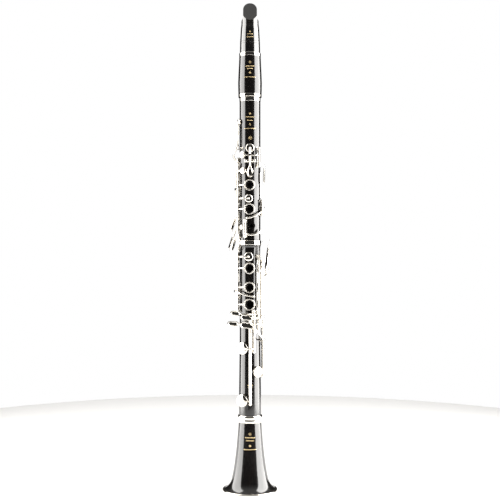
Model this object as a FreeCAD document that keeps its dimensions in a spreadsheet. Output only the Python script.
import FreeCAD, Part
import math
import os
import Sketcher
from FreeCAD import Placement, Rotation, Vector

# A straight soprano clarinet standing on the rim of its bell.
# +Z runs up the bore and the front of the keywork faces -Y.  The origin is on
# the bore's axis, in the plane of the bell's rim.  Angles round the body are in
# degrees from the front, growing towards the player's right hand, which is -X.

SIZES = [
    # lengths along the bore
    ("bell_length", 110), ("lower_length", 252), ("upper_length", 207),
    ("barrel_length", 64), ("mouthpiece_length", 75),
    # the turned bodies
    ("bore_radius", 7.3), ("upper_radius", 15.1), ("lower_radius", 14.8),
    ("lower_foot_radius", 16.2), ("barrel_radius", 15.6), ("barrel_belly_radius", 17.2),
    ("socket_radius", 11), ("tenon_depth", 17), ("cork_thickness", 0.7),
    ("tenon_clearance", 0.1), ("cork_shoulder", 3), ("cork_end", 4), ("tenon_relief", 1),
    ("lower_collar_radius", 15.7), ("collar_cone", 2.6), ("edge_ease", 0.6),
    ("bell_neck_radius", 16.7), ("bell_rim_radius", 36.5), ("bell_wall", 4),
    ("rim_ring_radius", 40), ("rim_ring_height", 3.6), ("ring_height", 6.4),
    ("barrel_foot_ring", 4.4), ("barrel_top_ring", 5.2),
    ("bell_ring_height", 10.5), ("ring_wall", 1.2),
    ("mouthpiece_radius", 14.7), ("mouthpiece_top_radius", 12.4),
    ("beak_length", 29.5), ("beak_half_width", 10),
    # the keywork
    ("rod_radius", 1), ("running_clearance", 0.05), ("tube_radius", 2),
    ("hinge_height", 3.4), ("post_radius", 2.4), ("post_width", 3), ("end_gap", 0.15),
    ("arm_radius", 1.15), ("seat_height", 0.7), ("pad_thickness", 2), ("pad_proud", 0.9),
    ("cup_wall", 0.5), ("ring_key_radius", 8), ("ring_key_bore", 6.3),
    ("ring_key_height", 1.5), ("chimney_radius", 5.2), ("finger_hole_radius", 3.7),
    ("touch_thickness", 1.5),
]

# Where each key's hinge lies and how it moves: the angle of its rod round the body,
# the two ends of its tube, and how far it turns when it is pressed.
HINGES = {
    "a_key": (0, 475.5, 475.5, 7),
    "g_sharp_key": (-42, 470.5, 492.5, 7),
    "register_key": (68, 495, 495, 2.8),
    "thumb_ring_key": (-130, 427.5, 458.5, 4.5),
    "first_ring_key": (67, 437.15, 470, 4.5),
    "second_ring_key": (67, 369, 433.85, 4.5),
    "left_sliver_key": (-66, 400.5, 417.5, 7),
    "c_sharp_key": (24, 369.5, 388.5, 9),
    "right_ring_key": (67, 261.5, 351.5, 4.5),
    "right_sliver_key": (90, 281, 297, 7),
    "e_b_key": (-1, 129, 245.5, 6.5),
    "f_c_key": (-17.5, 204, 258.5, 5.5),
    "a_flat_key": (-40, 232, 257.5, 7),
    "f_sharp_key": (-78, 168, 222, 5),
    "left_f_c_lever": (-40, 260.8, 338, 5.5),
    "left_e_b_lever": (-62, 253, 331, 4.6),
    "left_f_sharp_lever": (-102, 218, 325, 5),
}

doc = FreeCAD.newDocument("clarinet")
sheet = doc.addObject("Spreadsheet::Sheet", "sizes")
for row, (alias, value) in enumerate(SIZES, start=1):
    sheet.set("A%d" % row, alias.replace("_", " "))
    sheet.set("B%d" % row, str(value))
    sheet.setAlias("B%d" % row, alias)
doc.recompute()

parts = []


def size(alias):
    """A driving dimension, as the sheet holds it."""
    return float(sheet.get(alias))


def cell(text):
    """An expression on the sheet's cells: every word becomes a cell of it."""
    words = [word for word in text.replace("(", " ( ").replace(")", " ) ").split()]
    return " ".join("sizes." + w if w[0].isalpha() else w for w in words)


def keep(thing, label):
    """Makes an object one of the part's pieces, with its own name."""
    thing.Label = label
    parts.append(thing)
    return thing


# ---------------------------------------------------------------- places

BELL_TOP = size("bell_length")
LOWER_TOP = BELL_TOP + size("lower_length")
UPPER_TOP = LOWER_TOP + size("upper_length")
BARREL_TOP = UPPER_TOP + size("barrel_length")
TIP = BARREL_TOP + size("mouthpiece_length")
ROD_LINE = size("upper_radius") + size("hinge_height")
WAIST = 0.46  # how far up the lower joint it is slimmest, as a share of its length
MIDDLE_JOINT = 362  # where the two joints meet in the heights that the keywork is given in
CARRIED = LOWER_TOP - MIDDLE_JOINT  # how far the sheet's lengths move the keywork up


def outward(angle):
    """The direction straight out of the body at an angle round it."""
    turn = math.radians(angle)
    return Vector(-math.sin(turn), -math.cos(turn), 0)


def along(angle):
    """The direction round the body, in which the angle grows."""
    turn = math.radians(angle)
    return Vector(-math.cos(turn), math.sin(turn), 0)


def place(x, y, height):
    """A point of the keywork, which the middle joint carries up and down."""
    return Vector(x, y, height + CARRIED)


def spot(angle, radius, height):
    """A point of the keywork by its angle and its distance from the bore's axis."""
    return outward(angle) * radius + place(0, 0, height)


def body_radius(height):
    """The wood's radius at a height of the keywork, on either joint."""
    level = height + CARRIED
    if level >= LOWER_TOP:
        return size("upper_radius")
    waist = BELL_TOP + WAIST * size("lower_length")
    if level >= waist:
        return size("lower_radius")
    share = (waist - level) / (waist - BELL_TOP)
    return size("lower_radius") + share * (size("lower_foot_radius") - size("lower_radius"))


def seat(height):
    """How far from the axis a flat pad closes on its tone hole."""
    return body_radius(height) + size("seat_height")


# ---------------------------------------------------------------- shapes

def bar(start, end, radius):
    """A straight round bar between two points."""
    line = end - start
    return Part.makeCylinder(radius, line.Length, start, line)


def ball(centre, radius):
    return Part.makeSphere(radius, centre)


def swept(points, radius):
    """A round arm along a smooth curve through a few points."""
    curve = Part.BSplineCurve()
    curve.interpolate(points)
    edge = curve.toShape()
    section = Part.Wire(Part.makeCircle(radius, points[0], edge.tangentAt(edge.FirstParameter)))
    return Part.Wire(edge).makePipeShell([section], True, True)


def plate(outline, thickness, centre, across, upward, rounding=0.45, dish=None):
    """A blade with a smooth outline and eased edges, dished where a floor's inset and depth are given."""
    normal = across.cross(upward).normalize()
    widest = max(u for u, _ in outline)
    tallest = max(v for _, v in outline)

    def layer(level, inset):
        squeeze = (1 - inset / widest, 1 - inset / tallest)
        curve = Part.BSplineCurve()
        curve.interpolate([centre + normal * level + across * (u * squeeze[0]) + upward * (v * squeeze[1])
                           for u, v in outline], PeriodicFlag=True)
        return Part.Wire(curve.toShape())

    steps = ((0, 1), (0.3, 0.3), (1, 0))
    layers = [layer(rise * rounding, inset * rounding) for rise, inset in steps]
    layers += [layer(thickness - rise * rounding, inset * rounding) for rise, inset in steps[::-1]]
    blade = Part.makeLoft(layers, True, True)
    if dish is None:
        return blade
    inset, depth = dish
    above = 0.2
    land = 0.15
    lip = inset - (inset - rounding - land) * (1 + above / depth)
    hollow = Part.makeLoft([layer(thickness - depth, inset), layer(thickness + above, lip)], True, True)
    return blade.cut(hollow)


def leaf(length, width, point=0.55):
    """The outline of a blade: round at the bottom, narrower at the top."""
    half = length / 2
    return [(0, -half), (width * 0.36, -half * 0.8), (width * 0.5, -half * 0.3),
            (width * 0.5 * point, half * 0.5), (0, half), (-width * 0.5 * point, half * 0.5),
            (-width * 0.5, -half * 0.3), (-width * 0.36, -half * 0.8)]


def lathe(points, base, direction, crown=()):
    """A solid of revolution from (radius, height) corners and a smooth crown after them."""
    corners = [Vector(r, 0, h) for r, h in points]
    edges = [Part.makeLine(a, b) for a, b in zip(corners, corners[1:])]
    last = corners[-1]
    if crown:
        edges.append(curved([points[-1], *crown]))
        last = Vector(crown[-1][0], 0, crown[-1][1])
    edges.append(Part.makeLine(last, corners[0]))
    face = Part.Face(Part.Wire(edges))
    solid = face.revolve(Vector(0, 0, 0), Vector(0, 0, 1), 360)
    solid.Placement = Placement(base, Rotation(Vector(0, 0, 1), direction))
    return solid


def curved(points):
    """A smooth edge through (radius, height) points."""
    spline = Part.BSplineCurve()
    spline.interpolate([Vector(r, 0, h) for r, h in points])
    return spline.toShape()


def pad_cup(radius, angle, height):
    """A key's domed cup over a tone hole, closed, with the recess for its pad."""
    wall = size("cup_wall")
    depth = size("pad_thickness") - size("pad_proud")
    crown = depth + wall
    shell = [(0, depth), (radius - wall, depth), (radius - wall, 0), (radius, 0), (radius, crown * 0.4)]
    dome = [(radius * 0.985, crown * 0.7), (radius * 0.93, crown * 0.95), (radius * 0.8, crown + 0.25),
            (radius * 0.6, crown + 0.55), (radius * 0.3, crown + 0.75), (0, crown + 0.8)]
    return lathe(shell, spot(angle, seat(height) + size("pad_proud"), height), outward(angle), dome)


def pad_disc(radius, angle, height):
    """The pad that fills a cup, closed, with a bevelled face and a dimple for air."""
    inner = radius - size("cup_wall")
    depth = size("pad_thickness")
    disc = [(0, 0.3), (inner * 0.3, 0), (inner * 0.93, 0), (inner, 0.35), (inner, depth), (0, depth)]
    return lathe(disc, spot(angle, seat(height), height), outward(angle))


def cup_top(angle, height):
    """The middle of a closed cup's crown, a little inside its metal."""
    rise = size("pad_thickness") + size("cup_wall") + 0.3
    return spot(angle, seat(height) + rise, height)


def finger_ring(radius, height, angle=0):
    """A ring round a finger hole, pressed flush, standing off its chimney."""
    base = spot(angle, chimney_top(height) - size("ring_key_height"), height)
    tall = size("ring_key_height")
    bore = size("ring_key_bore") + radius - size("ring_key_radius")
    middle = (bore + radius) / 2
    band = [(bore, 0), (radius - 0.3, 0), (radius, 0.3), (radius, tall * 0.5)]
    crown = [(radius - 0.22, tall * 0.86), (middle, tall), (bore + 0.22, tall * 0.86), (bore, tall * 0.5)]
    return lathe(band, base, outward(angle), crown)


def chimney_top(height):
    return body_radius(height) + 2.2


# ---------------------------------------------------------------- hinges

def hinge_line(key):
    """The two ends of a key's tube, on the axis of its rod."""
    angle, low, high, _ = HINGES[key]
    if low != high:
        return spot(angle, ROD_LINE, low), spot(angle, ROD_LINE, high)
    middle = spot(angle, ROD_LINE + CROSS_RISE[key], low)
    half = CROSS_HALF[key]
    return middle - along(angle) * half, middle + along(angle) * half


CROSS_HALF = {"a_key": 5.1, "register_key": 3.4}
CROSS_RISE = {"a_key": 0.6, "register_key": 0.9}


def hinge_tube(key):
    low, high = hinge_line(key)
    return bar(low, high, size("tube_radius"))


def clear_rod(shape, ends):
    """Bores a key for its rod, with the running clearance."""
    low, high = ends
    over = (high - low).normalize() * 2
    drill = bar(low - over, high + over, size("rod_radius") + size("running_clearance"))
    return shape.cut(drill)


def at_rest(shape, key, sense):
    """Turns a piece of an open-standing key from pressed to rest."""
    low, high = hinge_line(key)
    piece = shape.copy()
    piece.rotate(low, high - low, -sense * HINGES[key][3])
    return piece


# ---------------------------------------------------------------- turned bodies

def revolved(label, corners, kept=False):
    """A PartDesign body turned from (radius, height) corners given as cell formulas."""
    body = doc.addObject("PartDesign::Body", label.replace(" ", "_"))
    sketch = body.newObject("Sketcher::SketchObject", label + "_profile")
    plane = [f for f in body.Origin.OriginFeatures if f.Role == "XZ_Plane"][0]
    sketch.AttachmentSupport = [(plane, "")]
    sketch.MapMode = "FlatFace"
    count = len(corners)
    rough = [Vector(evaluate(r), evaluate(h), 0) for r, h in corners]
    for i in range(count):
        sketch.addGeometry(Part.LineSegment(rough[i], rough[(i + 1) % count]), False)
    for i in range(count):
        sketch.addConstraint(Sketcher.Constraint("Coincident", i, 2, (i + 1) % count, 1))
    for i, (radius, height) in enumerate(corners):
        tie(sketch, "DistanceX", i, radius, -2)
        tie(sketch, "DistanceY", i, height, -1)
    turn = body.newObject("PartDesign::Revolution", label + "_turned")
    turn.Profile = sketch
    turn.ReferenceAxis = (sketch, ["V_Axis"])
    turn.Angle = 360
    doc.recompute()
    return body


def tie(sketch, kind, corner, formula, axis):
    """Binds one coordinate of a profile's corner to a formula on the sheet."""
    if formula == "0":
        sketch.addConstraint(Sketcher.Constraint("PointOnObject", corner, 1, axis))
        return
    index = sketch.addConstraint(
        Sketcher.Constraint(kind, -1, 1, corner, 1, evaluate(formula)))
    sketch.setExpression("Constraints[%d]" % index, cell(formula))


def evaluate(formula):
    """The number that a formula on the sheet's cells gives now."""
    total = 0
    sign = 1
    for word in formula.split():
        if word in "+-":
            sign = 1 if word == "+" else -1
            continue
        total += sign * (size(word) if word[0].isalpha() else float(word))
    return total


def drilled(label, body, seats, holes):
    """A turned joint with its raised tone-hole seats fused on and its holes cut."""
    rough = doc.addObject("Part::MultiFuse", label + "_rough")
    rough.Shapes = [body] + seats
    tools = doc.addObject("Part::MultiFuse", label + "_drills")
    tools.Shapes = holes
    cut = doc.addObject("Part::Cut", label)
    cut.Base = rough
    cut.Tool = tools
    doc.recompute()
    return keep(cut, label)


def cylinder(name, radius, length, base, direction):
    """A Part cylinder whose radius is bound to the sheet."""
    item = doc.addObject("Part::Cylinder", name)
    item.setExpression("Radius", radius if isinstance(radius, str) else str(radius))
    item.Height = length
    item.Placement = Placement(base, Rotation(Vector(0, 0, 1), direction))
    return item


RING_EASE = 0.7  # how far a ring's outer edges are rounded


def ring_solid(label, inner, outer, low, height):
    """A plain metal ring round the bore, as two bound cylinders cut from one another."""
    names = (label + "_outside", label + "_inside")
    for name, radius, extra in zip(names, (outer, inner), (0, 1)):
        item = doc.addObject("Part::Cylinder", name)
        item.setExpression("Radius", cell(radius))
        item.setExpression("Height", cell(height) + " + %d" % (2 * extra))
        item.Placement.Base = Vector(0, 0, evaluate(low) - extra)
        item.setExpression("Placement.Base.z", cell(low) + " - %d" % extra)
    cut = doc.addObject("Part::Cut", label + "_band")
    cut.Base = doc.getObject(names[0])
    cut.Tool = doc.getObject(names[1])
    doc.recompute()
    eased = doc.addObject("Part::Fillet", label)
    eased.Base = cut
    widest = cut.Shape.BoundBox.XMax
    eased.Edges = [(number, RING_EASE, RING_EASE) for number, edge in enumerate(cut.Shape.Edges, 1)
                   if edge.BoundBox.XMax > widest - 0.01 and edge.BoundBox.ZLength < 0.01]
    return eased


def ring(label, inner, outer, low, height):
    """A ring that is a piece by itself."""
    return keep(ring_solid(label, inner, outer, low, height), label)


def piece(label, shape):
    """A piece whose form no primitive or sketch gives, set from the sheet's sizes."""
    item = doc.addObject("Part::Feature", label)
    item.Shape = shape
    return keep(item, label)


# ---------------------------------------------------------------- tone holes

# Each pad's key, the angle and height of its hole, and the cup's and hole's radius.
PADS = {
    "register_key": (68, 533, 4.3, 1.6), "a_key": (0, 494.5, 6.1, 2.6),
    "g_sharp_key": (40, 485, 5, 2.2), "thumb_ring_key": (174, 431.5, 4.6, 2.4),
    "first_ring_key": (34, 462, 4.6, 2.4), "second_ring_key": (3, 422, 5.75, 2.9),
    "side_key_1": (86, 478, 4, 1.8), "side_key_2": (108, 459, 4, 1.8),
    "side_key_3": (122, 476, 4, 1.8), "side_key_4": (143, 456, 4, 1.8),
    "left_sliver_key": (-97, 410, 4, 1.9), "c_sharp_key": (45, 381, 3.5, 1.6),
    "right_ring_key": (4, 338.6, 6.5, 3.4), "right_sliver_key": (128, 288, 4.6, 2.4),
    "e_b_key": (38, 132, 9, 5.6), "f_c_key": (38, 207, 8.75, 5.4),
    "a_flat_key": (-72, 241, 5.4, 3), "f_sharp_key": (-37, 173, 8, 5),
}
# The finger holes with a raised chimney: angle, height and whether a ring rides it.
# Each finger hole's angle and height, and its radius as a share of the largest.
CHIMNEYS = {
    "first": (0, 441.5, 0.78), "second": (0, 407, 0.82), "third": (-8, 383, 0.7),
    "fourth": (0, 322, 0.95), "fifth": (0, 294.5, 0.95), "sixth": (0, 270, 1),
}
THUMB_HOLE = (180, 450)
RING_KEYS = {
    "thumb_ring_key": [(*THUMB_HOLE, 0)], "first_ring_key": [(0, 441.5, 0)],
    "second_ring_key": [(0, 407, 0)],
    "right_ring_key": [(0, 322, 0), (0, 294.5, 0), (0, 270, 0.4)],
}


def on_upper(height):
    return height > MIDDLE_JOINT


def seats_and_holes(upper):
    """The raised seats and the drills of one joint, as bound cylinders."""
    seats = []
    holes = []
    for key, (angle, height, cup, hole) in PADS.items():
        if on_upper(height) != upper:
            continue
        rise = body_radius(height) - 4
        seats.append(cylinder("seat_" + key, (cup - 0.9), seat(height) - 0.02 - rise,
                              spot(angle, rise, height), outward(angle)))
        holes.append(cylinder("hole_" + key, hole, body_radius(height) + 5,
                              spot(angle, 0, height), outward(angle)))
    for name, (angle, height, share) in CHIMNEYS.items():
        if on_upper(height) != upper:
            continue
        rise = body_radius(height) - 4
        seats.append(cylinder("chimney_" + name, "sizes.chimney_radius",
                              chimney_top(height) - rise, spot(angle, rise, height), outward(angle)))
        holes.append(cylinder("hole_" + name, "sizes.finger_hole_radius * %g" % share,
                              body_radius(height) + 5, spot(angle, 0, height), outward(angle)))
    return seats, holes


# ---------------------------------------------------------------- the bodies

SCREW_RADIUS = 1.2
REST = 258 + CARRIED  # the height of the thumb rest's hook


def rest_screws():
    """Where the thumb rest's screws go: their places across and up."""
    return [(0, REST + 13), (-3.6, REST - 6), (3.6, REST - 6)]


def tenon(joint_edge):
    """The corners of a tenon with its cork groove, going up from a joint's shoulder."""
    tip = "tenon_depth"
    return [("socket_radius - tenon_clearance", joint_edge),
            ("socket_radius - tenon_clearance", joint_edge + " + cork_shoulder"),
            ("socket_radius - cork_thickness", joint_edge + " + cork_shoulder"),
            ("socket_radius - cork_thickness", joint_edge + " + " + tip + " - cork_end"),
            ("socket_radius - tenon_clearance", joint_edge + " + " + tip + " - cork_end"),
            ("socket_radius - tenon_clearance", joint_edge + " + " + tip + " - tenon_relief")]


def socket(top):
    """The corners of a socket, going down from its mouth to its floor."""
    return [("socket_radius", top), ("socket_radius", top + " - tenon_depth"),
            ("bore_radius", top + " - tenon_depth")]


THUMB_TUBE_RADIUS = 4.6
SCREW_GRIP = 4.5
DRILL_DEPTH = 20
LOWER_EDGE = "bell_length"
MIDDLE = "bell_length + lower_length"
UPPER_EDGE = MIDDLE + " + upper_length"
BARREL_EDGE = UPPER_EDGE + " + barrel_length"


def hanging(corners):
    """Turns a tenon's corners upside down, so that it hangs below its shoulder."""
    flip = str.maketrans("+-", "-+")
    hung = []
    for radius, height in corners:
        words = height.split(" ")
        base = 1 + max([i for i, word in enumerate(words) if "length" in word])
        hung.append((radius, " ".join(words[:base] + [w.translate(flip) for w in words[base:]])))
    return hung[::-1]


def make_upper_joint():
    outline = [("bore_radius", MIDDLE + " - tenon_depth + tenon_relief")]
    outline += hanging(tenon(MIDDLE))
    outline += [("upper_radius - edge_ease", MIDDLE), ("upper_radius", MIDDLE + " + edge_ease"),
                ("upper_radius", UPPER_EDGE + " - ring_height"),
                ("upper_radius - ring_wall", UPPER_EDGE + " - ring_height"),
                ("upper_radius - ring_wall", UPPER_EDGE)]
    outline += tenon(UPPER_EDGE)
    outline += [("bore_radius", UPPER_EDGE + " + tenon_depth - tenon_relief")]
    body = revolved("upper_turned", outline)
    seats, holes = seats_and_holes(True)
    angle, height = THUMB_HOLE
    holes.append(cylinder("thumb_drill", THUMB_TUBE_RADIUS, DRILL_DEPTH, spot(angle, 0, height),
                          outward(angle)))
    return drilled("upper_joint", body, seats, holes)


def make_lower_joint():
    slim = BELL_TOP + WAIST * size("lower_length")
    outline = [("bore_radius", LOWER_EDGE + " - tenon_depth + tenon_relief")]
    outline += hanging(tenon(LOWER_EDGE))
    outline += [("lower_foot_radius - edge_ease", LOWER_EDGE),
                ("lower_foot_radius", LOWER_EDGE + " + edge_ease"), ("lower_radius", str(slim)),
                ("lower_radius", MIDDLE + " - ring_height - 1 - collar_cone"),
                ("lower_collar_radius", MIDDLE + " - ring_height - 1"),
                ("lower_collar_radius", MIDDLE + " - ring_height"),
                ("lower_collar_radius - ring_wall", MIDDLE + " - ring_height"),
                ("lower_collar_radius - ring_wall", MIDDLE)]
    outline += socket(MIDDLE)
    body = revolved("lower_turned", outline)
    seats, holes = seats_and_holes(False)
    for number, (across, height) in enumerate(rest_screws()):
        holes.append(cylinder("rest_screw_hole_%d" % number, SCREW_RADIUS, DRILL_DEPTH,
                              Vector(across, size("lower_radius") - SCREW_GRIP, height), Vector(0, 1, 0)))
    return drilled("lower_joint", body, seats, holes)


def make_barrel():
    top = BARREL_EDGE
    belly = UPPER_EDGE + " + 21"
    outline = [("bore_radius", UPPER_EDGE + " + tenon_depth"),
               ("socket_radius", UPPER_EDGE + " + tenon_depth"),
               ("socket_radius", UPPER_EDGE), ("barrel_radius", UPPER_EDGE),
               ("barrel_radius", UPPER_EDGE + " + barrel_foot_ring"),
               ("barrel_radius + ring_wall", UPPER_EDGE + " + barrel_foot_ring"),
               ("barrel_belly_radius - 0.15", UPPER_EDGE + " + 11"), ("barrel_belly_radius", belly),
               ("barrel_belly_radius - 0.45", UPPER_EDGE + " + 33"),
               ("barrel_belly_radius - 1.1", UPPER_EDGE + " + 46"),
               ("barrel_radius", top + " - barrel_top_ring"),
               ("barrel_radius - ring_wall", top + " - barrel_top_ring"),
               ("barrel_radius - ring_wall", top)]
    outline += socket(top)
    body = revolved("barrel_turned", outline)
    return keep(body, "barrel")


def make_rings():
    ring("upper_joint_ring", "upper_radius - ring_wall", "upper_radius + 0.15",
         UPPER_EDGE + " - ring_height", "ring_height - 0.4")
    pair = doc.addObject("Part::Compound", "barrel_rings")
    pair.Links = [ring_solid("barrel_lower_ring", "barrel_radius", "barrel_radius + ring_wall",
                             UPPER_EDGE, "barrel_foot_ring"),
                  ring_solid("barrel_upper_ring", "barrel_radius - ring_wall", "barrel_radius",
                             BARREL_EDGE + " - barrel_top_ring", "barrel_top_ring")]
    keep(pair, "barrel_rings")
    ring("middle_ring", "lower_collar_radius - ring_wall", "lower_collar_radius + 0.4",
         MIDDLE + " - ring_height", "ring_height")


def make_bell():
    """The flared bell, with a socket above and seats for its two rings."""
    top = size("bell_length")
    neck = size("bell_neck_radius")
    rim = size("bell_rim_radius")
    floor = size("rim_ring_height")
    wall = size("bell_wall")
    bore = size("bore_radius")
    ring_low = top - size("bell_ring_height")
    flare = [(neck, ring_low), (neck + 2.2, top * 0.67), (neck + 6.3, top * 0.36),
             (neck + 9.8, top * 0.19), (neck + 13.6, top * 0.092), (rim, floor)]
    throat = [(rim - wall * 0.55, floor), (neck + 13.2 - wall, top * 0.1),
              (neck + 8.4 - wall, top * 0.22), (neck + 3.2 - wall, top * 0.45),
              (bore + 3, top * 0.66), (bore, top - size("tenon_depth"))]
    step = neck - size("ring_wall")
    socket_r = size("socket_radius")
    corners = [throat[-1], (socket_r, throat[-1][1]), (socket_r, top), (step, top),
               (step, ring_low), flare[0]]
    edges = [Part.makeLine(Vector(a[0], 0, a[1]), Vector(b[0], 0, b[1]))
             for a, b in zip(corners, corners[1:])]
    edges += [curved(flare), Part.makeLine(Vector(rim, 0, floor), Vector(throat[0][0], 0, floor)),
              curved(throat)]
    face = Part.Face(Part.Wire(Part.__sortEdges__(edges)))
    piece("bell", face.revolve(Vector(0, 0, 0), Vector(0, 0, 1), 360))
    band = [(step, top - 0.3), (step, ring_low), (neck + 0.35, ring_low)]
    swell = [(neck + 0.85, ring_low + 0.8), (neck + 1, ring_low + 5), (neck + 0.8, top - 1.3),
             (neck + 0.2, top - 0.3)]
    piece("bell_ring", lathe(band, Vector(0, 0, 0), Vector(0, 0, 1), swell))
    outer = size("rim_ring_radius")
    lip = [(throat[0][0], floor), (throat[0][0], 0), (outer - 0.8, 0)]
    roll = [(outer - 0.12, 0.75), (outer, 1.6), (outer - 0.5, floor * 0.75), (outer - 1.7, floor * 0.95),
            (rim, floor)]
    piece("bell_rim_ring", lathe(lip, Vector(0, 0, 0), Vector(0, 0, 1), roll))


# How thick the beak is at the tip, and a length that clears the whole mouthpiece.
TIP_THICKNESS = 1.2
CLEAR = 60


def scribed(radius, height):
    """The corners of a fine line cut round the mouthpiece."""
    depth = 0.16
    return [(radius, height - depth), (radius - depth, height), (radius, height + depth)]


def make_mouthpiece():
    """The beaked mouthpiece: a cone cut by the beak and the table, with its window."""
    body = mouthpiece_cone().common(mouthpiece_front())
    low = BARREL_TOP - size("tenon_depth")
    slim = size("mouthpiece_top_radius")
    back = slim * 0.72
    edge = Vector(0, back - TIP_THICKNESS, TIP)
    heel = Vector(0, -slim - 0.4, TIP - size("beak_length"))
    slope = (edge - heel).normalize()
    beak = prism([edge + slope * 4, edge - slope * CLEAR, Vector(0, -CLEAR, TIP - CLEAR),
                  Vector(0, -CLEAR, TIP + 4)], CLEAR)
    table = Part.makeBox(CLEAR, CLEAR, CLEAR, Vector(-CLEAR / 2, back, TIP - 56))
    bore = bar(Vector(0, 0, low - 1), Vector(0, 0, TIP - 36), size("bore_radius"))
    wall = Vector(0, 1.6, 0)
    top = edge + wall - slope * 3.6
    deep = edge + wall - slope * 24
    floor = TIP - 33
    window = prism([top, deep, Vector(0, deep.y, floor), Vector(0, back + 1, floor),
                    Vector(0, back + 1, top.z)], 11)
    chamber = Part.makeBox(9.6, 7.5, 14, Vector(-4.8, -1.5, TIP - 40))
    piece("mouthpiece", body.cut([beak, table, bore, window, chamber]))


def mouthpiece_cone():
    """The turned form of the mouthpiece, from its tenon to the height of its tip."""
    low = BARREL_TOP
    wide = size("mouthpiece_radius")
    slim = size("mouthpiece_top_radius")
    foot = low - size("tenon_depth")
    cork_foot = foot + size("cork_end")
    cork_head = low - size("cork_shoulder")
    groove = size("socket_radius") - size("cork_thickness")
    fit = size("socket_radius") - size("tenon_clearance")
    first = foot + size("tenon_relief")
    shell = [(0, first), (fit, first), (fit, cork_foot), (groove, cork_foot), (groove, cork_head),
             (fit, cork_head), (fit, low), (wide - 0.5, low), (wide, low + 0.5),
             *scribed(wide - 0.28, low + 13.6), *scribed(wide - 0.34, low + 16.5),
             (slim + 0.9, low + 35), (slim + 0.15, low + 41), (slim + 0.15, low + 42),
             (slim, low + 42), (slim, TIP), (0, TIP)]
    return lathe(shell, Vector(0, 0, 0), Vector(0, 0, 1))


def mouthpiece_front():
    """The mouthpiece's outline from the front, as thick as the whole piece."""
    low = BARREL_TOP - size("tenon_depth")
    half = size("beak_half_width")
    brow = TIP - 34
    cheek = TIP - 20
    shoulder = TIP - 11
    side = [Vector(-20, 0, low), Vector(-20, 0, brow), Vector(-half, 0, cheek),
            Vector(-half, 0, shoulder), Vector(0, 0, TIP), Vector(half, 0, shoulder),
            Vector(half, 0, cheek), Vector(20, 0, brow), Vector(20, 0, low)]
    front = [Part.makeLine(side[0], side[1]), blend(side[1], side[2]), Part.makeLine(side[2], side[3]),
             rounded(side[3], side[4]), rounded(side[5], side[4]), Part.makeLine(side[5], side[6]),
             blend(side[7], side[6]), Part.makeLine(side[7], side[8]), Part.makeLine(side[8], side[0])]
    form = Part.Face(Part.Wire(Part.__sortEdges__(front))).extrude(Vector(0, CLEAR, 0))
    form.translate(Vector(0, -CLEAR / 2, 0))
    return form


def prism(corners, width):
    """A prism across the mouthpiece from corners in its middle plane."""
    shift = Vector(-width / 2, 0, 0)
    face = Part.Face(Part.makePolygon([c + shift for c in corners + corners[:1]]))
    return face.extrude(Vector(width, 0, 0))


def blend(low, high):
    """A hollow curve up the mouthpiece's side, from its round body to the flat beak."""
    hollow = Vector(high.x * 1.06, 0, low.z * 0.35 + high.z * 0.65)
    return Part.Arc(low, hollow, high).toShape()


def rounded(shoulder, tip):
    """A quarter of the tip's rounded end."""
    across = Vector(shoulder.x, 0, 0)
    turn = math.radians(45)
    between = Vector(0, 0, shoulder.z) + across * math.cos(turn)
    between += Vector(0, 0, (tip.z - shoulder.z) * math.sin(turn))
    spline = Part.BSplineCurve()
    spline.interpolate([shoulder, between, tip], InitialTangent=Vector(0, 0, 12), FinalTangent=-across)
    return spline.toShape()


def cork(low, ease=0.0):
    """A cork sleeve in its groove, as thick as the socket round it leaves room for."""
    inner = size("socket_radius") - size("cork_thickness")
    tall = size("tenon_depth") - size("cork_shoulder") - size("cork_end")
    sleeve = Part.makeCylinder(size("socket_radius") - ease, tall, Vector(0, 0, low))
    return sleeve.cut(Part.makeCylinder(inner, tall, Vector(0, 0, low)))


def make_corks():
    """The cork sleeves; the one that the barrel slides on has a running clearance."""
    drop = size("tenon_depth") - size("cork_end")
    fixed = [cork(BELL_TOP - drop), cork(LOWER_TOP - drop)]
    sliding = cork(UPPER_TOP + size("cork_shoulder"), size("running_clearance"))
    piece("tenon_corks", Part.makeCompound(fixed + [sliding]))
    piece("mouthpiece_cork", cork(BARREL_TOP - drop))


# ---------------------------------------------------------------- keys

HUB_WIDTH = 2.6
HUB_RADIUS = 2.2
HUB_OFFSET = 1.45

# The side keys: the angle of the rod that a pair shares, the hub's offset along it,
# the touch's angle, height and reach, and how far the key turns.
SIDE_KEYS = {
    "side_key_1": (94, -HUB_OFFSET, 91, 357, 27.5, 2.6), "side_key_2": (94, HUB_OFFSET, 105, 384, 24.5, 4.2),
    "side_key_3": (129, -HUB_OFFSET, 122, 357, 27.5, 2.7),
    "side_key_4": (129, HUB_OFFSET, 139, 384, 24.5, 4.4),
}
SIDE_PIVOT = (19.8, 436)
SENSES = {"thumb_ring_key": 1, "first_ring_key": 1, "second_ring_key": 1, "right_ring_key": 1,
          "e_b_key": -1, "f_c_key": -1, "f_sharp_key": -1}


def make_key(key, pieces):
    """One key: its tube and everything soldered to it, bored, and turned to rest."""
    pieces = list(pieces)
    if key in PADS:
        angle, height, cup, _ = PADS[key]
        pieces.append(pad_cup(cup, angle, height))
    for angle, height, extra in RING_KEYS.get(key, []):
        pieces.append(finger_ring(size("ring_key_radius") + extra, height, angle))
    shape = hinge_tube(key).fuse(pieces)
    shape = clear_rod(shape, hinge_line(key))
    shape = shape.cut(pad_space(key)) if key in PADS else shape
    pad = pad_disc(PADS[key][2], *PADS[key][:2]) if key in PADS else None
    if key in SENSES:
        shape = at_rest(shape, key, SENSES[key])
        pad = at_rest(pad, key, SENSES[key])
    piece(key, shape)
    if pad:
        piece(key.replace("_key", "_pad"), pad)


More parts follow.
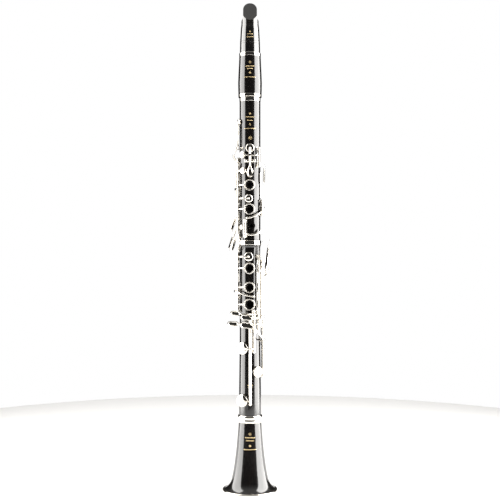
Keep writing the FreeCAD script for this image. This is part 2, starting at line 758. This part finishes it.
def pad_space(key):
    """What the pad takes out of the arms and tubes that cross its cup."""
    angle, height, cup, _ = PADS[key]
    low = spot(angle, seat(height) - 2, height)
    high = spot(angle, seat(height) + size("pad_thickness"), height)
    return bar(low, high, cup - size("cup_wall"))


def ring_arm(angle, height, side, extra=0):
    """An arm from a rod line round to the near edge of a finger ring."""
    plane = chimney_top(height) - size("ring_key_height") / 2
    reach = size("ring_key_radius") + extra - 0.7
    edge = spot(side, plane, height) + along(side) * (reach if angle > side else -reach)
    way = 1 if angle > side else -1
    middle = spot(side + way * 44, plane + 2.2, height)
    return swept([spot(angle, ROD_LINE, height), middle, edge], size("arm_radius"))


def pad_arm(key, start=None):
    """An arm from a key's rod line to the middle of its cup."""
    angle, low, high, _ = HINGES[key]
    pad_angle, height, _, _ = PADS[key]
    level = height if start is None else start
    middle = (angle + pad_angle) / 2
    arm = swept([spot(angle, ROD_LINE, level), spot(middle, ROD_LINE + 1.5, (level + height) / 2),
                 cup_top(pad_angle, height)], size("arm_radius"))
    return arm.fuse(ball(cup_top(pad_angle, height), size("arm_radius") + 0.4))


def touch(angle, radius, height, length, width, lean=0.0, point=0.55, turn=0, extra=0.0):
    """A leaf-shaped touch facing outwards, leaning out towards its top by a share."""
    facing = angle + turn
    upward = (Vector(0, 0, 1) + outward(facing) * lean).normalize()
    return plate(leaf(length, width, point), size("touch_thickness") + extra,
                 spot(angle, radius, height), -along(facing), upward)


# The outline of a little-finger touch as shares of its length and width: one form for
# the outer pair, slim at the far end, and one for the inner pair, slim at the near end.
OUTER_FORM = [(-0.5, -0.14), (-0.4, 0.34), (0, 0.48), (0.4, 0.45), (0.5, 0), (0.41, -0.46),
              (0, -0.5), (-0.4, -0.42)]
INNER_FORM = [(-0.5, 0), (-0.43, 0.42), (-0.08, 0.5), (0.28, 0.26), (0.5, -0.3), (0.36, -0.5),
              (0, -0.5), (-0.42, -0.42)]


def finger_plate(form, x, depth, height, length, width, turn):
    """A dished little-finger touch across the front, its length turned a little downwards."""
    way = math.radians(turn)
    outline = [(u * length, v * width) for u, v in form]
    return plate(outline, size("touch_thickness") + 0.3, place(x, depth, height),
                 Vector(math.cos(way), 0, math.sin(way)), Vector(-math.sin(way), 0, math.cos(way)),
                 rounding=0.7, dish=(1.6, 0.6))


def make_throat_keys():
    """The A key over its screw, the G sharp key beneath it, and the register key."""
    front = ROD_LINE + CROSS_RISE["a_key"]
    pivot = Vector(0, -front, 475.5)
    lever = swept([pivot, place(0, -21.9, 480.5), place(0, -21.9, 487), cup_top(0, 494.5)],
                  size("arm_radius") + 0.35)
    boss = bar(place(0, -23.7, 484), place(0, -20.8, 484), 1.75)
    neck = swept([pivot, place(0, -21, 472.5), place(0, -21.7, 468.5)], size("arm_radius"))
    face = plate(leaf(19, 10.6, 0.42), size("touch_thickness") + 0.5, place(0, -21.1, 461.5),
                 Vector(1, 0, 0), Vector(0, 0, 1), rounding=0.9, dish=(2.5, 0.8))
    screw_hole = bar(place(0, -25, 484), place(0, -20, 484), 0.8)
    lever = lever.fuse([boss, neck, face]).cut(screw_hole)
    make_key("a_key", [lever])
    screw = bar(place(0, -24.3, 484), place(0, -20.7, 484), 0.8)
    slot = Part.makeBox(2, 0.5, 0.35, place(-1, -24.4, 483.83))
    piece("a_key_screw", screw.cut(slot))
    cross = swept([spot(-42, ROD_LINE, 484), spot(-22, 18.5, 484), spot(0, 17.7, 484),
                   spot(24, 18.7, 484.6), cup_top(40, 485)], 0.95)
    side_arm = swept([spot(-42, ROD_LINE, 473), spot(-60, 20.2, 470.5), spot(-73, 20.8, 467)],
                     size("arm_radius"))
    make_key("g_sharp_key", [cross, side_arm, touch(-76, 20.3, 457.5, 28, 6.6, 0.03)])
    heart = spot(68, ROD_LINE + CROSS_RISE["register_key"], 495)
    upper = swept([heart, spot(66, 19.4, 503), spot(65, 19, 520), cup_top(68, 533)], 1.8)
    lower = swept([heart, spot(76, 22.8, 489.5), spot(106, 24, 482), spot(140, 23, 475),
                   spot(163, 21.2, 470)], 1.1)
    make_key("register_key", [upper, lower, touch(168, 20.6, 467.6, 15.5, 9)])


def make_ring_keys():
    """The ring keys: thumb, first finger, second finger with its bridge, right hand."""
    thumb = [ring_arm(-130, THUMB_HOLE[1], -180), pad_arm_to("thumb_ring_key", -186)]
    make_key("thumb_ring_key", thumb)
    make_key("first_ring_key", [ring_arm(67, 441.5, 0), pad_arm("first_ring_key")])
    bridge = swept([spot(67, ROD_LINE, 371.5), spot(54, 19.5, 368), spot(50, 19.4, 357.5)], 1.1)
    make_key("second_ring_key", [ring_arm(67, 407, 0), pad_arm("second_ring_key"), bridge])
    lift = swept([spot(67, ROD_LINE, 348), spot(55, 20.6, 350.5), spot(50, 22.5, 356.5),
                  spot(50, 22.5, 364)], 1.1)
    arms = [ring_arm(67, z, 0, extra) for _, z, extra in RING_KEYS["right_ring_key"]]
    make_key("right_ring_key", arms + [pad_arm("right_ring_key"), lift])


def pad_arm_to(key, pad_angle):
    """A pad arm that goes round the back, where the angle passes a half turn."""
    angle = HINGES[key][0]
    height = PADS[key][1]
    return swept([spot(angle, ROD_LINE, height), spot((angle + pad_angle) / 2, ROD_LINE + 1.6, height),
                  cup_top(pad_angle, height)], size("arm_radius"))


def make_cross_keys():
    """The sliver keys and the C sharp key, whose touches cross the front."""
    sliver = swept([spot(-66, ROD_LINE, 404), spot(-50, 20.4, 402.3), spot(-25, 21, 398),
                    place(-4.6, -20.3, 394)], 1.3)
    make_key("left_sliver_key", [sliver, ball(place(-4.6, -20.3, 394), 1.5), pad_arm("left_sliver_key")])
    lever = swept([spot(24, ROD_LINE, 373), place(0, -21.3, 370), place(9, -20.6, 371.2),
                   spot(-42, 22, 374)], 1.3)
    upward = (along(-52) * -0.9 + Vector(0, 0, 0.4)).normalize()
    across = outward(-52).cross(upward) * -1
    face = plate(leaf(13, 5.6, 0.8), size("touch_thickness"), spot(-50, 21.6, 375), across, upward)
    make_key("c_sharp_key", [lever, face, pad_arm("c_sharp_key")])
    over = swept([spot(90, ROD_LINE, 289), spot(81, 21.8, 289), spot(67, 23.6, 288.5),
                  spot(45, 23.1, 287), spot(20, 21.6, 284), place(5.6, -20.3, 281.8)], 1.2)
    make_key("right_sliver_key", [over, ball(place(5.6, -20.3, 281.8), 1.6),
                                  pad_arm("right_sliver_key")])


def make_little_finger_keys():
    """The four right-hand little-finger keys, each with the tail that its lever lifts."""
    reach = size("arm_radius")
    lower_outer = finger_plate(OUTER_FORM, -25, -19.3, 243.3, 15.5, 7, -6)
    arm = swept([spot(-1, ROD_LINE, 243), place(-9, -20, 243.4), place(-19, -19.4, 243.3)], reach)
    tail = swept([spot(-1, ROD_LINE, 242.5), spot(-11, 22.3, 242.4), spot(-30, 24.6, 242.2)], 0.95)
    make_key("e_b_key", [lower_outer, arm, tail, pad_arm("e_b_key")])
    upper_outer = finger_plate(OUTER_FORM, -21.5, -20.2, 258, 14.5, 7, -6)
    arm = swept([spot(-17.5, ROD_LINE, 255.5), place(-4, -20.9, 256.3), place(-15.5, -20.3, 257.4)], reach)
    tail = swept([spot(-17.5, ROD_LINE, 254.5), spot(-27, 21.2, 256.8), spot(-31, 21.8, 263.6)], 0.9)
    cup_arm = swept([spot(-17.5, ROD_LINE, 206.5), spot(-9, 21.8, 206.5), spot(4, 22.4, 206.8),
                     spot(22, 20.8, 207), cup_top(38, 207)], reach)
    make_key("f_c_key", [upper_outer, arm, tail, cup_arm])
    upper_inner = finger_plate(INNER_FORM, -4.7, -27, 252.2, 18, 7.6, -6)
    arm = swept([spot(-40, ROD_LINE, 250), place(9.8, -23, 250.6), place(1.6, -26.9, 250.6)], reach)
    make_key("a_flat_key", [upper_inner, arm, pad_arm("a_flat_key")])
    lower_inner = finger_plate(INNER_FORM, -6, -23.5, 241, 20, 8.8, -8)
    arm = swept([spot(-78, ROD_LINE, 219), place(16.5, -17.5, 221.5), place(10.5, -23.6, 229.5),
                 place(1.2, -23.6, 238.9)], reach)
    tail = swept([spot(-78, ROD_LINE, 218.6), spot(-86, 20.8, 218.6), spot(-92, 21.2, 218.8)], 0.9)
    make_key("f_sharp_key", [lower_inner, arm, tail, pad_arm("f_sharp_key")])


def make_left_levers():
    """The left-hand little-finger levers: a leaf, a long tube and a foot under a tail."""
    leaf_arm = swept([spot(-40, ROD_LINE, 316), spot(-44, 22.8, 319), spot(-50, 24.2, 330)],
                     size("arm_radius"))
    foot = swept([spot(-40, ROD_LINE, 264.4), spot(-36, 19.2, 264.4), spot(-31, 19, 264.2)], 0.8)
    make_key("left_f_c_lever", [touch(-52, 23.4, 344, 34, 7.6, -0.03, turn=6), leaf_arm, foot])
    make_key("left_e_b_lever", [
        touch(-76, 28.6, 343, 42, 8.4, 0.08, turn=28),
        swept([spot(-62, ROD_LINE, 308), spot(-70, 24.4, 312), spot(-76, 27.8, 328)], size("arm_radius")),
        swept([spot(-62, ROD_LINE, 255), spot(-50, 21.8, 251.5), spot(-38, 22.4, 245.5),
               spot(-31, 21, 242.3)], 0.9)])
    make_key("left_f_sharp_lever", [
        touch(-112, 26, 337, 36, 6.8, 0.12),
        swept([spot(-102, ROD_LINE, 306), spot(-108, 23, 310), spot(-112, 25.4, 322)], size("arm_radius")),
        swept([spot(-102, ROD_LINE, 219.5), spot(-97, 18.9, 219.2), spot(-92, 18.5, 218.8)], 0.8)])


def side_pivot(key):
    angle, offset = SIDE_KEYS[key][:2]
    line, height = SIDE_PIVOT
    return spot(angle, line, height) + along(angle) * offset


def make_side_keys():
    """The four side keys: a hub on a shared rod, a pad above it and a touch below."""
    for key, (angle, offset, touch_angle, touch_height, reach, _) in SIDE_KEYS.items():
        heart = side_pivot(key)
        half = along(angle) * (HUB_WIDTH / 2)
        hub = bar(heart - half, heart + half, HUB_RADIUS)
        pad_angle, pad_height, cup, _ = PADS[key]
        own = angle + math.degrees(offset / ROD_LINE)
        level = (SIDE_PIVOT[1] + pad_height) / 2
        up = swept([heart, spot((own + pad_angle) / 2, 20, level), cup_top(pad_angle, pad_height)], 1.0)
        down = swept([heart, spot(own, 19.8, 424), spot(own, 20.2, touch_height + 22),
                      spot(touch_angle, reach - 2.6, touch_height + 8),
                      spot(touch_angle, reach + 0.5, touch_height)], 1.0)
        face = touch(touch_angle, reach, touch_height, 21, 6.4, -0.32, 0.8, extra=0.7)
        shape = hub.fuse([up, down, face, pad_cup(cup, pad_angle, pad_height)])
        shape = clear_rod(shape, (heart - half, heart + half)).cut(pad_space(key))
        piece(key, shape)
        piece(key.replace("_key", "_pad"), pad_disc(cup, pad_angle, pad_height))


# ---------------------------------------------------------------- posts and rods

# A post's stem, the low collar round its foot, and the needle springs.
STEM_RADIUS = 1.25
STEM_DEPTH = 3.5
COLLAR_RADIUS = 2
COLLAR_RISE = 0.35
SPRING_RADIUS = 0.3
SPRING_LENGTH = 13
SPRING_GAP = 0.15


def post_places():
    """Every post as its angle, centre and rod direction, with those that two keys share."""
    places = {}
    standoff = size("end_gap") + size("post_width") / 2
    for key in HINGES:
        angle = HINGES[key][0]
        low, high = hinge_line(key)
        way = (high - low).normalize()
        for centre in (low - way * standoff, high + way * standoff):
            mark = (angle, round(centre.x, 1), round(centre.y, 1), round(centre.z, 1))
            places.setdefault(mark, [angle, centre, way, 0])
            places[mark][3] += 1
    line, height = SIDE_PIVOT
    for angle in sorted({spec[0] for spec in SIDE_KEYS.values()}):
        hubs = HUB_WIDTH / 2 + HUB_OFFSET
        for sign in (-1, 1):
            centre = spot(angle, line, height) + along(angle) * (sign * (hubs + standoff))
            places[(angle, sign)] = [angle, centre, along(angle), 1]
    return list(places.values())


def one_post(angle, centre, way):
    """A post whose ball is centred on a rod line, with its stem going down into the wood."""
    line = centre.dot(outward(angle))
    surface = body_radius(centre.z - CARRIED)
    head = ball(centre, size("post_radius"))
    half = way * (size("post_width") / 2)
    head = head.common(bar(centre - half, centre + half, size("post_radius") + 1))
    root = centre - outward(angle) * (line - surface + STEM_DEPTH)
    collar = centre - outward(angle) * (line - surface - COLLAR_RISE)
    whole = head.fuse([bar(root, centre, STEM_RADIUS), bar(root, collar, COLLAR_RADIUS)])
    return whole.cut(bar(centre - way * 4, centre + way * 4, size("rod_radius")))


def make_posts():
    """The posts of each joint, shaped to the wood that they stand on."""
    for label, joint, upper in (("upper_posts", "upper_joint", True), ("lower_posts", "lower_joint", False)):
        wood = doc.getObject(joint).Shape
        heads = [one_post(angle, centre, way) for angle, centre, way, _ in post_places()
                 if on_upper(centre.z - CARRIED) == upper]
        piece(label, Part.makeCompound([head.cut(wood) for head in heads]))


def make_rods():
    """The steel rods that the keys turn on, ending flush or meeting inside a shared post."""
    shared = {tuple(round(c, 1) for c in centre) for _, centre, _, uses in post_places() if uses > 1}
    standoff = size("end_gap") + size("post_width") / 2
    beyond = size("post_width") / 2 + 0.6
    rods = []
    for key in HINGES:
        low, high = hinge_line(key)
        rods.append(one_rod(low, high, standoff, beyond, shared))
    line, height = SIDE_PIVOT
    for angle in sorted({spec[0] for spec in SIDE_KEYS.values()}):
        hubs = along(angle) * (HUB_WIDTH / 2 + HUB_OFFSET)
        middle = spot(angle, line, height)
        rods.append(one_rod(middle - hubs, middle + hubs, standoff, beyond, shared))
    piece("hinge_rods", Part.makeCompound(rods))


def one_rod(low, high, standoff, beyond, shared):
    way = (high - low).normalize()
    ends = []
    for centre, sign in ((low - way * standoff, -1), (high + way * standoff, 1)):
        mark = tuple(round(c, 1) for c in centre)
        ends.append(centre if mark in shared else centre + way * (sign * beyond))
    return bar(ends[0], ends[1], size("rod_radius"))


def make_springs():
    """Needle springs: a wire from a post's stem down under the key that it returns."""
    stems = [doc.getObject("upper_posts").Shape, doc.getObject("lower_posts").Shape]
    wires = []
    standoff = size("end_gap") + size("post_width") / 2
    for key, (angle, low, high, _) in HINGES.items():
        if low == high:
            continue
        line = ROD_LINE - size("tube_radius") - SPRING_RADIUS - SPRING_GAP
        start = spot(angle, line, high + standoff)
        wires.append(bar(start, start - Vector(0, 0, SPRING_LENGTH), SPRING_RADIUS).cut(stems))
    piece("needle_springs", Part.makeCompound(wires))


# ---------------------------------------------------------------- fittings

def make_tubes():
    """The thumb hole's metal tube with its raised rim, and the register tube."""
    angle, height = THUMB_HOLE
    out = outward(angle)
    top = chimney_top(height)
    bore = THUMB_TUBE_RADIUS - 0.7
    tube = bar(spot(angle, 8, height), spot(angle, top, height), THUMB_TUBE_RADIUS)
    rim = bar(spot(angle, 12, height), spot(angle, top, height), size("chimney_radius"))
    wood = Part.makeCylinder(size("upper_radius"), 60, place(0, 0, height - 30))
    tube = tube.fuse(rim.cut(wood)).cut(bar(spot(angle, 5, height), spot(angle, top + 1, height), bore))
    piece("thumb_tube", tube)
    angle, height, _, hole = PADS["register_key"]
    inside = size("bore_radius") - 0.5
    tube = bar(spot(angle, inside, height), spot(angle, seat(height) - 0.02, height), hole)
    piece("register_tube", tube.cut(bar(spot(angle, 3, height), spot(angle, 20, height), hole - 0.6)))


REST_WIDTH = 14
REST_WALL = 1.6
REST_FOOT = 11
REST_LENGTH = 32
HOOK_THICKNESS = 2.4
EYE = {"radius": 4.6, "hole": 3, "thick": 2.4, "standoff": 5.2, "rise": 20.5}


def make_thumb_rest():
    """The thumb rest: a curved base screwed to the back, a hook, and a strap eye."""
    wood = size("lower_radius")
    half = REST_WIDTH / 2
    base = Part.makeCylinder(wood + REST_WALL, REST_LENGTH, Vector(0, 0, REST - REST_FOOT))
    base = base.cut(Part.makeCylinder(wood, REST_LENGTH + 8, Vector(0, 0, REST - REST_FOOT - 3)))
    base = base.common(Part.makeBox(REST_WIDTH, 20, 40, Vector(-half, 5, REST - REST_FOOT - 3)))
    hook = Part.makeBox(REST_WIDTH, 17, HOOK_THICKNESS, Vector(-half, wood + 0.6, REST))
    hook = hook.makeFillet(1.1, hook.Edges)
    middle = Vector(0, wood + EYE["standoff"], REST + EYE["rise"])
    edge = Vector(EYE["thick"] / 2, 0, 0)
    eye = bar(middle - edge, middle + edge, EYE["radius"])
    neck = Part.makeBox(EYE["thick"], 5, 5, Vector(-EYE["thick"] / 2, wood + 0.6, REST + 16))
    hole = bar(middle - edge * 4, middle + edge * 4, EYE["hole"])
    shanks = [bar(Vector(x, 8, z), Vector(x, wood + 3, z), SCREW_RADIUS) for x, z in rest_screws()]
    piece("thumb_rest", base.fuse([hook, eye, neck]).cut([hole] + shanks))
    screws = []
    for x, z in rest_screws():
        rise = math.sqrt((wood + REST_WALL) ** 2 - x * x)
        shank = bar(Vector(x, wood - SCREW_GRIP, z), Vector(x, rise, z), SCREW_RADIUS)
        head = lathe([(0, 0), (2.1, 0), (2.1, 0.4), (1.5, 1), (0, 1.2)], Vector(x, rise, z), Vector(0, 1, 0))
        slot = Part.makeBox(0.45, 1, 5, Vector(x - 0.22, rise + 0.75, z - 2.5))
        screws.append(shank.fuse(head.cut(base)).cut(slot))
    piece("thumb_rest_screws", Part.makeCompound(screws))


# ---------------------------------------------------------------- build

def check():
    """Stops if any object failed to compute or any piece is not a valid solid."""
    doc.recompute()
    for item in doc.Objects:
        if {"Invalid", "Error"} & set(item.State):
            raise ValueError(item.Name + " did not compute: " + str(item.State))
    for item in parts:
        if item.Shape.isNull() or not item.Shape.isValid() or not item.Shape.Solids:
            raise ValueError(item.Label + " is not a valid solid")


make_bell()
make_lower_joint()
make_upper_joint()
make_barrel()
make_rings()
make_mouthpiece()
make_corks()
make_throat_keys()
make_ring_keys()
make_cross_keys()
make_little_finger_keys()
make_left_levers()
make_side_keys()
make_posts()
make_rods()
make_springs()
make_tubes()
make_thumb_rest()
check()

os.makedirs("parts", exist_ok=True)
for item in parts:
    item.Shape.exportStep("parts/" + item.Label + ".step")
print(len(parts), "pieces written, top at", TIP)
